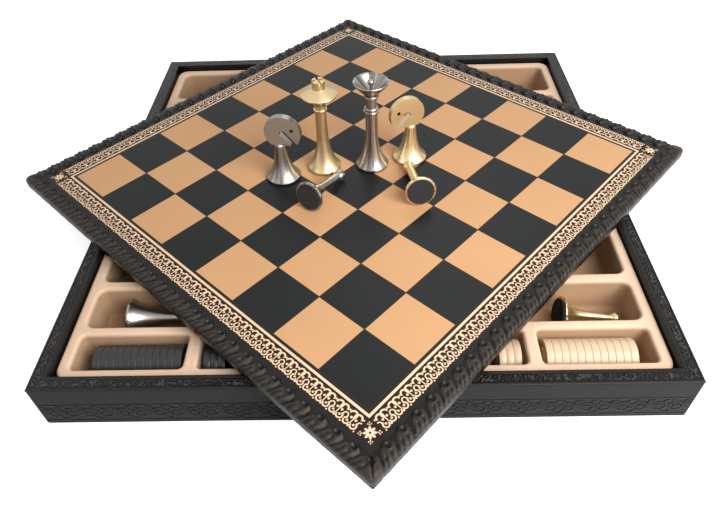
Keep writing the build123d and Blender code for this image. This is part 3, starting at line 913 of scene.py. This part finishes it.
def arc(centre, radius, first, last, count=16):
    """Points of an arc about a height on the axis, by angles in degrees."""
    angles = np.radians(np.linspace(first, last, count + 1))
    return [(abs(radius * cos(a)), centre + radius * sin(a)) for a in angles]


print("a curve takes", len(curve((0, 0), (1, 0), (1, 1))), "points, an arc", len(arc(0, 1, 0, 90)))

# %% Foot and ring of an outline
pad_top = 0.8
foot_edge = 1.8


def foot(radius, neck, neck_height):
    """A weighted foot with a rounded edge and a hollow flare."""
    top = pad_top + foot_edge
    shoulder = (radius - 0.12, top)
    base = [(0, pad_top), (radius - 0.5, pad_top), (radius - 0.15, pad_top + 0.15)]
    side = [(radius, pad_top + 0.5), (radius, top - 0.3)]
    flare = curve(shoulder, (neck + 1.5, top + neck_height / 4), (neck, neck_height), 22)
    return [*base, *side, shoulder, *flare]


def turned_ring(radius, inner, low):
    """A rounded ring up a stem."""
    eased = radius - 0.25
    side = [(eased, low + 0.35), (radius, low + 0.7), (radius, low + 1.7), (eased, low + 2.05)]
    return [(inner, low), *side, (inner, low + 2.4)]


print("a foot takes", len(foot(13, 4.5, 30)), "points")

# %% Spin an outline
streak_drift = 4.0


def turned(name, outline, place, steps=72):
    """Spin an outline in millimetres about its axis and put it in its place."""
    mesh = bpy.data.meshes.new(name)
    points = [(r * mm, 0, z * mm) for r, z in outline]
    mesh.from_pydata(points, [(i, i + 1) for i in range(len(points) - 1)], [])
    piece = bpy.data.objects.new(name, mesh)
    bpy.context.scene.collection.objects.link(piece)
    select_only(piece)
    bpy.ops.object.mode_set(mode="EDIT")
    bpy.ops.mesh.select_all(action="SELECT")
    bpy.ops.mesh.spin(steps=steps, angle=2 * pi, center=(0, 0, 0), axis=(0, 0, 1))
    bpy.ops.mesh.select_all(action="SELECT")
    bpy.ops.mesh.remove_doubles(threshold=0.005 * mm)
    bpy.ops.mesh.normals_make_consistent(inside=False)
    bpy.ops.object.mode_set(mode="OBJECT")
    bpy.ops.object.shade_smooth_by_angle(angle=radians(35))
    spin = piece.data.attributes.new("spin", "FLOAT_VECTOR", "POINT")
    for point, vertex in zip(spin.data, piece.data.vertices):
        angle = atan2(vertex.co.y, vertex.co.x)
        point.vector = (cos(angle), sin(angle), vertex.co.z * streak_drift)
    piece.data.transform(place)
    print(name, len(piece.data.polygons), "faces")
    return piece


def standing(node_name, facing=0.0):
    """Where a standing man's axis meets the board, from its pad."""
    low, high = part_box(node_name)
    centre = Vector(((low.x + high.x) / 2, (low.y + high.y) / 2, low.z))
    return Matrix.Translation(centre) @ Matrix.Rotation(radians(facing), 4, "Z")


print("the king stands at", [round(v, 4) for v in standing("brass_king_pad").translation])

# %% [markdown]
# ## The king
# A long stem with one ring carries a flat disc, and on it a small block slit crosswise. The slits
# are cut with two thin blocks: a boolean keeps their walls crisp, where a bump would only hint at
# them.

# %% Cutting tools
def cut(piece, cutters):
    """Cut shapes out of a piece and drop them."""
    for cutter in cutters:
        select_only(piece)
        cutting = piece.modifiers.new("cut", "BOOLEAN")
        cutting.object = cutter
        cutting.solver = "EXACT"
        bpy.ops.object.modifier_apply(modifier="cut")
        bpy.data.objects.remove(cutter)


def block(size, place):
    """A cutting block in millimetres."""
    bpy.ops.object.select_all(action="DESELECT")
    bpy.ops.mesh.primitive_cube_add(size=1)
    made = bpy.context.object
    made.data.transform(Matrix.Diagonal((*(s * mm for s in size), 1)))
    made.data.transform(Matrix.Translation([p * mm for p in place]))
    return made


print("cutters", [tool.__name__ for tool in (cut, block)])

# %% King
king_outline = [
    *foot(13.25, 4.5, 30),
    *turned_ring(5.1, 4.3, 52.4),
    (4.2, 57.2),
    *curve((4.2, 57.2), (4.3, 62.4), (12.7, 65.1)),
    *((13.4, 65.6), (13.65, 66.0), (13.65, 66.6), (13.4, 66.95)),
    (5.5, 70.4),
    *((4.9, 71.0), (4.9, 77.1), (4.5, 77.5), (0, 77.5)),
]
slit_length, slit_width, slit_depth, slit_middle = 12, 2, 3, 76.2
king = turned("brass_king_turned", king_outline, Matrix.Identity(4))
slits = [
    block((slit_length, slit_width, slit_depth), (0, 0, slit_middle)),
    block((slit_width, slit_length, slit_depth), (0, 0, slit_middle)),
]
cut(king, slits)
king.data.transform(standing("brass_king_pad", 20))
finish_piece(king, ["brass_king_stem", "brass_king_crown"])
print("king with slits", len(king.data.polygons), "faces")

# %% [markdown]
# ## The queen
# The queen's stem has two rings and a collar, and opens into a cup with a ball in it. The ball could
# be a sphere set in the cup, but one outline does both: it runs up the outside, over the lip, down
# the inside and up round the ball, so the whole man is one closed turning.

# %% Queen
queen_outline = [
    *foot(13.0, 4.7, 30),
    *turned_ring(5.9, 4.7, 48.6),
    *turned_ring(5.3, 4.7, 51.0),
    *((4.2, 53.6), (4.2, 61.6)),
    *turned_ring(6.0, 4.2, 61.6),
    *curve((4.2, 64.0), (8.6, 67.3), (13.1, 73.2)),
    *((13.25, 73.8), (13.25, 74.2), (13.0, 74.5), (12.4, 74.5), (12.05, 74.3)),
    *curve((12.05, 74.3), (6.6, 67.7), (1.2, 65.5)),
    (1.2, 71.9),
    *arc(73.6, 2.5, -58, 90),
]
queen = turned("gunmetal_queen_turned", queen_outline, standing("gunmetal_queen_pad"))
finish_piece(queen, ["gunmetal_queen_stem", "gunmetal_queen_cup"])
print("queen outline", len(queen_outline), "points")

# %% [markdown]
# ## The knights
# A knight's head is a thick coin on edge, with a slot for a mouth and a hole for an eye. It could
# be drawn flat and extruded. With cuts, each feature has a size of its own and can be changed
# without drawing the rest again.

# %% Sizes of the coin
coin_at = (3.8, 42.0)
coin_radius, coin_thick = 14, 5
coin_flat = 31.5
eye_at = (11.3, 45.0)
eye_radius = 1.45
throat_radius = 2.5
cutter_length = 8
mouth_size = (30, cutter_length, 5)
mouth_lean = 50
print("coin", 2 * coin_radius, "mm across, its eye", 2 * eye_radius, "mm")

# %% Coin head
def disc(at, radius, thickness, vertices):
    """A disc on edge that faces along Y, in millimetres."""
    bpy.ops.object.select_all(action="DESELECT")
    bpy.ops.mesh.primitive_cylinder_add(vertices=vertices, radius=radius * mm, depth=thickness * mm)
    made = bpy.context.object
    made.data.transform(Matrix.Translation((at[0] * mm, 0, at[1] * mm)) @ Matrix.Rotation(pi / 2, 4, "X"))
    return made


def leaning_mouth():
    """The block that cuts the mouth, leaning down and forward from the coin's middle."""
    mouth = block(mouth_size, (coin_at[0] + mouth_size[0] / 2, 0, coin_at[1]))
    centre = Vector((coin_at[0] * mm, 0, coin_at[1] * mm))
    lean = Matrix.Rotation(radians(mouth_lean), 4, "Y")
    mouth.data.transform(Matrix.Translation(centre) @ lean @ Matrix.Translation(-centre))
    return mouth


def coin_head(name):
    """A coin with a mouth, an eye and a flat to stand on."""
    coin = disc(coin_at, coin_radius, coin_thick, 96)
    coin.name = name
    mouth = leaning_mouth()
    eye = disc(eye_at, eye_radius, cutter_length, 24)
    throat = disc(coin_at, throat_radius, cutter_length, 32)
    below = block((40, 20, 10), (0, 0, coin_flat - 5))
    cut(coin, [mouth, throat, eye, below])
    round_edges(coin, 0.35 * mm, 2, radians(22))
    return coin


def face_part(face):
    """0 on the coin's flat sides, 1 round its edge and in the mouth, 2 in the eye."""
    if abs(face.normal.y) > 0.9:
        return 0
    from_eye = hypot(face.center.x - eye_at[0] * mm, face.center.z - eye_at[1] * mm)
    return 2 if from_eye < (eye_radius + 0.25) * mm else 1


print("the mouth leans", mouth_lean, "degrees")

# %% Knights
stem_outline = [
    *foot(13.5, 4.4, 27),
    (4.1, 29.5),
    *curve((4.1, 29.5), (4.1, 32.0), (1.0, 32.6), 6),
    (0, 32.6),
]


def knight(name, facing, metal, coin_metal):
    """A turned stem with a coin for a head."""
    place = standing(name + "_pad", facing)
    stem = turned(name + "_stem_turned", stem_outline, place)
    finish_piece(stem, [name + "_stem"])
    coin = coin_head(name + "_coin")
    parts = [face_part(face) for face in coin.data.polygons]
    coin.data.transform(place)
    finish_piece(coin, [name + "_head"], coin_metal)
    for extra in (metal, "blacking"):
        coin.data.materials.append(materials[extra])
    coin.data.polygons.foreach_set("material_index", parts)
    print(coin.name, len(parts), "faces")


knight("gunmetal_knight", -9.7, "gunmetal", "gunmetal_coin")
knight("brass_knight", -159, "satin_brass", "brass_coin")

# %% [markdown]
# ## The pawns
# Two pawns lie on the board, each on the edge of its foot and on its ball. They could be turned and
# lowered by eye until they touch. How a turned piece comes to lie follows from those two circles, so
# its dip and its height are worked out.

# %% Pawns that lie on the board
pawn_foot = 11.7
pawn_ball = 4.8
ball_height = 41.5
rest_edge = 1.2
rest_gap = 0.3
dark_pawn_at, dark_pawn_points = (12.8, -64.5), 100.0
pale_pawn_at, pale_pawn_points = (71.8, -5.5), 141.8
pawn_outline = [*foot(pawn_foot, 3.4, 18), (3.2, 37.9), *arc(ball_height, pawn_ball, -48, 90)]


def lying(at, points):
    """Where a pawn lies, at this place on the board and pointing this way."""
    rise = ball_height - rest_edge
    dip = acos(pawn_ball / hypot(pawn_foot, rise)) - atan2(rise, pawn_foot)
    height = pawn_foot * cos(dip) + rest_edge * sin(dip) + rest_gap
    place = board_axes @ Matrix.Translation((at[0] * mm, at[1] * mm, height * mm))
    return place @ Matrix.Rotation(radians(points), 4, "Z") @ Matrix.Rotation(pi / 2 + dip, 4, "Y")


dark_pawn = turned("gunmetal_pawn_turned", pawn_outline, lying(dark_pawn_at, dark_pawn_points))
finish_piece(dark_pawn, ["gunmetal_pawn"])
pale_pawn = turned("brass_pawn_turned", pawn_outline, lying(pale_pawn_at, pale_pawn_points))
finish_piece(pale_pawn, ["brass_pawn"])
print("pawns lie", [round(v, 3) for pawn in (dark_pawn, pale_pawn) for v in pawn.bound_box[0]])

# %% [markdown]
# ## The floor
# A wide pale floor takes the object's shadow. Light enough to turn it white would wash the object
# out. A glow that only the camera sees does it instead, and lights nothing.

# %% Floor
bpy.ops.object.select_all(action="DESELECT")
bpy.ops.mesh.primitive_plane_add(size=12, location=(0, 0, 0))
floor = bpy.context.object
floor.name = "floor"
floor_finish = Finish("floor_white", (0.93, 0.93, 0.93), 0.9)
floor_seen = floor_finish.node("LightPath", out="Is Camera Ray")
floor_finish.set(Emission_Color=floor_seen, Emission_Strength=0.7)
floor.data.materials.append(floor_finish.material)
print("floor", round(floor.dimensions.x, 1), "m wide")

# %% [markdown]
# ## Sizes, and the end
# The visual model has to stay inside the model's own box.
